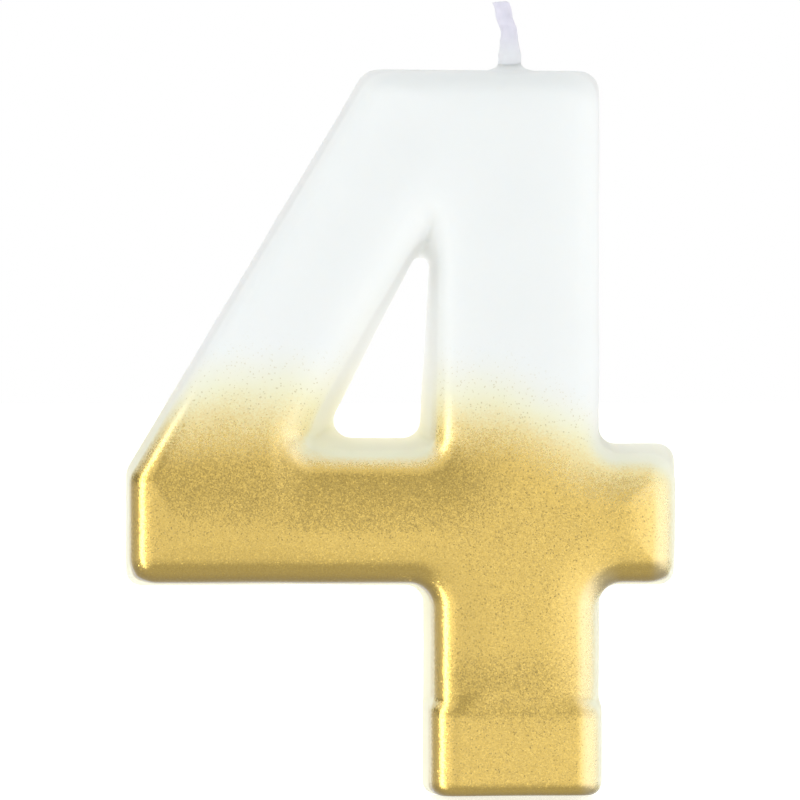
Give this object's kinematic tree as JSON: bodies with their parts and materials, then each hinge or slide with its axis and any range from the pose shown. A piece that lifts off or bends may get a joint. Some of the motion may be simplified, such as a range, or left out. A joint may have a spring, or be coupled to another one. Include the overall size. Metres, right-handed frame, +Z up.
{
  "type": "number birthday candle",
  "caption": "Standing numeral four cake candle: white dipped wax fading to sprayed metallic gold below, with a short plaited wick and a push-in foot.",
  "frame": {"origin": "middle of the foot's lower end", "axes": "+Z up along the wick, +X to the right as the numeral is read, -Y out of the rounded front face; the flat back faces +Y"},
  "size_m": [0.0569, 0.0121, 0.0816],
  "materials": {
    "core_wax": "milky poured paraffin wax",
    "white_wax": "smooth satin-gloss white dip wax",
    "gold_lacquer": "fine metallic gold spray lacquer, fading out upwards into loose flakes",
    "cotton": "bleached cotton yarn",
    "wick_wax": "thin translucent wax over cotton, faintly lilac"
  },
  "bodies": {
    "root": {"wax_core": "core_wax", "white_overdip": "white_wax", "gold_film": "gold_lacquer", "wick_strand_1": "cotton", "wick_strand_2": "cotton", "wick_strand_3": "cotton", "wick_wax_coat": "wick_wax"}
  },
  "joints": []
}
